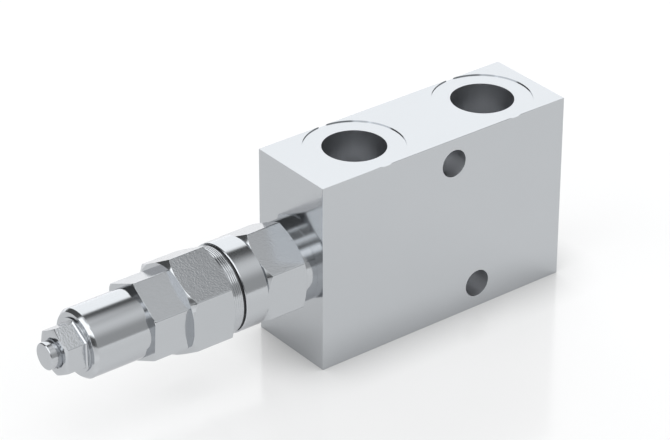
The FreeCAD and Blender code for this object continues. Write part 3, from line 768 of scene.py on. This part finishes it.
def coil(name, spring, part=(0.0, 1.0)):
    """A compression spring of round wire with closed, ground ends, or a part of it, from one share of
    its turns to another."""
    node, mean_radius, wire, turns = spring
    left, right = edges(node)
    closed_pitch = wire * CLOSED_PITCH
    open_pitch = (right - left - 2.0 * closed_pitch) / (turns - 2.0)
    work = bmesh.new()
    loops = []
    first, last = [round(share * turns * STEPS_PER_TURN) for share in part]
    for step in range(first, last + 1):
        turn = step / STEPS_PER_TURN
        x = closed_pitch * min(turn, 1.0) + open_pitch * min(max(turn - 1.0, 0.0), turns - 2.0)
        x += left + closed_pitch * max(turn - turns + 1.0, 0.0)
        angle = 2.0 * math.pi * turn
        outward = Vector((0.0, math.sin(angle), math.cos(angle)))
        centre = Vector((x, 0.0, AXIS_Z)) + outward * mean_radius
        loop = []
        for side in range(WIRE_SIDES):
            turned_by = 2.0 * math.pi * side / WIRE_SIDES
            offset = outward * math.cos(turned_by) + Vector((math.sin(turned_by), 0, 0))
            spot = centre + offset * (wire / 2.0)
            spot.x = min(max(spot.x, left), right)
            loop.append(work.verts.new(spot * MM))
        loops.append(loop)
    for lower, upper in zip(loops, loops[1:]):
        for side in range(WIRE_SIDES):
            after = (side + 1) % WIRE_SIDES
            work.faces.new((lower[side], lower[after], upper[after], upper[side]))
    work.faces.new(loops[0])
    work.faces.new(loops[-1])
    bmesh.ops.recalc_face_normals(work, faces=work.faces)
    mesh = bpy.data.meshes.new(name)
    work.to_mesh(mesh)
    work.free()
    mesh.materials.append(WIRE)
    piece = bpy.data.objects.new(name, mesh)
    bpy.context.scene.collection.objects.link(piece)
    shade(piece, COIL_SHARP_ANGLE)
    stands_for(piece, node, "valve")
    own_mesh(piece)
    return piece


block()
cartridge()
housing()
cap()
nut()
nut_washer()
screw()
seal_ring()
# The main spring is pressed from both ends: its outer half by the screw's seat, its inner half by
# the poppet's guide.
coil("main_spring_outer", MAIN_SPRING, (0.0, 0.5))
coil("main_spring_inner", MAIN_SPRING, (0.5, 1.0))
coil("check_spring_coil", CHECK_SPRING)

# The CAD's own pieces that stay, with their materials
NODE_MATERIALS = {
    HARDENED: ("pilot_orifice", "check_seat", "check_retainer", "relief_poppet", "spring_guide",
               "upper_spring_seat"),
    WIRE: ("check_circlip",),
    RUBBER: ("mouth_o_ring", "pilot_o_ring", "nose_o_ring", "cap_o_ring", "upper_seat_o_ring"),
    PLASTIC: ("backup_ring_1", "backup_ring_2", "backup_ring_3", "backup_ring_4", "poppet_seal_large",
              "poppet_seal_small"),
}
for material, nodes in NODE_MATERIALS.items():
    for node in nodes:
        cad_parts[node].data.materials.clear()
        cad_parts[node].data.materials.append(material)


# Floor, light and camera

FLOOR_HALF = 2.5
FLOOR_COLOUR = 0.42
FLOOR_ROUGHNESS = 0.14
FLOOR_LIFT = 0.53
# How far and how finely the painted shade round the object reaches and is sampled.
PAINTED_SHADE_REACH = 16.0
PAINTED_SHADE_SAMPLES = 12


def floor():
    """A pale floor that stays white to the camera and in the metal. Its diffuse part keeps the object's
    soft shadow; its emitted lift fades where the object stands close, which is painted shade."""
    mesh = bpy.data.meshes.new("floor")
    corners = [(x * FLOOR_HALF, y * FLOOR_HALF) for x, y in ((-1, -1), (1, -1), (1, 1), (-1, 1))]
    mesh.from_pydata([(x, y, block_base * MM) for x, y in corners], [], [(0, 1, 2, 3)])
    piece = bpy.data.objects.new("floor", mesh)
    bpy.context.scene.collection.objects.link(piece)
    material, tree, shader = new_material("floor_white", (FLOOR_COLOUR,) * 3, 0.0, FLOOR_ROUGHNESS)
    paths = tree.nodes.new("ShaderNodeLightPath")
    seen = add_math(tree, "ADD", paths.outputs["Is Camera Ray"], paths.outputs["Is Glossy Ray"])
    seen = add_math(tree, "ADD", seen, paths.outputs["Is Transmission Ray"])
    # Painted shade: an ambient-occlusion node cuts the emitted lift near the object.
    near = tree.nodes.new("ShaderNodeAmbientOcclusion")
    near.samples = PAINTED_SHADE_SAMPLES
    near.inputs["Distance"].default_value = PAINTED_SHADE_REACH * MM
    painted_shade_lift = ranged(tree, near.outputs["AO"], 0.0, 1.0, 0.0, FLOOR_LIFT)
    lift = add_math(tree, "MULTIPLY", add_math(tree, "MINIMUM", seen, 1.0), painted_shade_lift)
    shader.inputs["Emission Color"].default_value = (1.0, 1.0, 1.0, 1.0)
    tree.links.new(lift, shader.inputs["Emission Strength"])
    mesh.materials.append(material)
    return piece


# The studio round the object, as (azimuth, half width, lowest elevation, highest elevation, softness,
# level), with angles in degrees and azimuth 0 along +X. In order: the wall behind on the right, the
# boxes on the left with a paler one below, two at the front on the left, a pale and a faint one at
# the front on the right, and one overhead. What is between them stays darker.
STUDIO_BASE = 0.11
STUDIO_TINT = (0.985, 0.995, 1.0, 1.0)
STUDIO_PANELS = (
    (62.0, 30.0, -95.0, 51.0, 3.5, 1.42),
    (172.0, 28.0, 24.0, 52.0, 4.0, 1.8),
    (172.0, 28.0, 6.0, 24.0, 4.0, 0.9),
    (216.0, 20.0, 25.0, 42.0, 4.0, 1.8),
    (218.0, 25.0, 51.5, 72.0, 5.0, 1.35),
    (-62.0, 52.0, 40.0, 66.0, 20.0, 0.77),
    (-60.0, 70.0, -95.0, 48.0, 14.0, 0.36),
    (0.0, 190.0, 64.0, 99.0, 5.0, 1.35),
)


def studio():
    """Soft panels in a grey room."""
    world = bpy.data.worlds.new("studio")
    bpy.context.scene.world = world
    world.use_nodes = True
    tree = world.node_tree
    tree.nodes.clear()
    direction = tree.nodes.new("ShaderNodeTexCoord").outputs["Generated"]
    split = tree.nodes.new("ShaderNodeSeparateXYZ")
    tree.links.new(direction, split.inputs[0])
    elevation = add_math(tree, "DEGREES", add_math(tree, "ARCSINE", split.outputs["Z"]))
    level = STUDIO_BASE
    for azimuth, half, low, high, soft, strength in STUDIO_PANELS:
        rotate = tree.nodes.new("ShaderNodeVectorRotate")
        rotate.rotation_type = "Z_AXIS"
        rotate.inputs["Angle"].default_value = -math.radians(azimuth)
        tree.links.new(direction, rotate.inputs["Vector"])
        turned_split = tree.nodes.new("ShaderNodeSeparateXYZ")
        tree.links.new(rotate.outputs[0], turned_split.inputs[0])
        aside = add_math(tree, "ARCTAN2", turned_split.outputs["Y"], turned_split.outputs["X"])
        aside = add_math(tree, "ABSOLUTE", add_math(tree, "DEGREES", aside))
        across = ranged(tree, aside, half - soft, half + soft, 1.0, 0.0, smooth=True)
        above = ranged(tree, elevation, low - soft, low + soft, 0.0, 1.0, smooth=True)
        below = ranged(tree, elevation, high - soft, high + soft, 1.0, 0.0, smooth=True)
        inside = add_math(tree, "MULTIPLY", across, add_math(tree, "MULTIPLY", above, below))
        level = add_math(tree, "ADD", add_math(tree, "MULTIPLY", inside, strength), level)
    room = tree.nodes.new("ShaderNodeBackground")
    room.inputs["Color"].default_value = STUDIO_TINT
    tree.links.new(level, room.inputs["Strength"])
    output = tree.nodes.new("ShaderNodeOutputWorld")
    tree.links.new(room.outputs[0], output.inputs["Surface"])


CAMERA_PLACE = (-492.64, -595.63, 472.55)
CAMERA_YAW = -37.899
CAMERA_PITCH = 29.949
CAMERA_ROLL = 0.079
CAMERA_LENS = 161.93
SENSOR_WIDTH = 36.0
CLIP_START, CLIP_END = 0.01, 20.0


def camera():
    """The photograph's viewpoint."""
    yaw, pitch, roll = [math.radians(angle) for angle in (CAMERA_YAW, CAMERA_PITCH, CAMERA_ROLL)]
    back = Vector((math.sin(yaw) * math.cos(pitch), -math.cos(yaw) * math.cos(pitch), math.sin(pitch)))
    level = Vector((math.cos(yaw), math.sin(yaw), 0.0))
    upright = back.cross(level)
    right = level * math.cos(roll) + upright * math.sin(roll)
    up = back.cross(right)
    data = bpy.data.cameras.new("camera")
    data.lens = CAMERA_LENS
    data.sensor_width = SENSOR_WIDTH
    data.clip_start, data.clip_end = CLIP_START, CLIP_END
    viewer = bpy.data.objects.new("camera", data)
    bpy.context.scene.collection.objects.link(viewer)
    turn = Matrix((right, up, back)).transposed().to_4x4()
    viewer.matrix_world = Matrix.Translation(Vector(CAMERA_PLACE) * MM) @ turn
    bpy.context.scene.camera = viewer


floor()
studio()
camera()
bpy.context.scene.view_settings.view_transform = "Standard"
